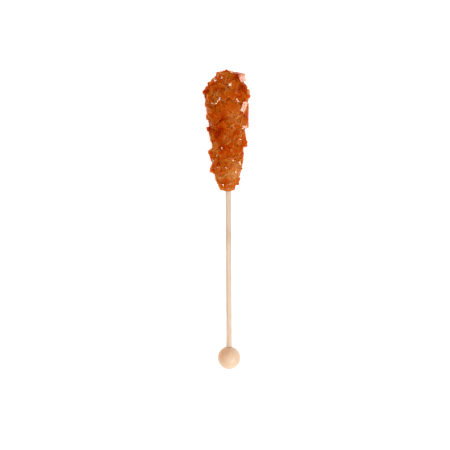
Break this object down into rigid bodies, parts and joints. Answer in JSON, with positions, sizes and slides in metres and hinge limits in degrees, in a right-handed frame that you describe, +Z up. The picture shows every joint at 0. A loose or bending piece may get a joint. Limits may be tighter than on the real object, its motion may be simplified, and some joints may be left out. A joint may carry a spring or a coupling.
{
  "type": "rock candy stick",
  "caption": "Rock candy stick: amber sugar crystals grown on one end of a wooden dowel, with a wooden ball on the other, lying on its side.",
  "frame": {"origin": "the point on the table under the middle of the whole box", "axes": "+Y along the stick from the ball to the candy, +Z up from the table, +X to the right of the shown side"},
  "size_m": [0.0268, 0.1651, 0.0236],
  "materials": {
    "amber_sugar": "clear amber sugar with flat glossy crystal faces",
    "stick_wood": "bare pale dowel, fine straight grain",
    "ball_wood": "smooth turned ball with a faint satin shine"
  },
  "bodies": {
    "root": {"candy_crystals": "amber_sugar", "wooden_stick": "stick_wood", "wooden_ball": "ball_wood"}
  },
  "joints": []
}
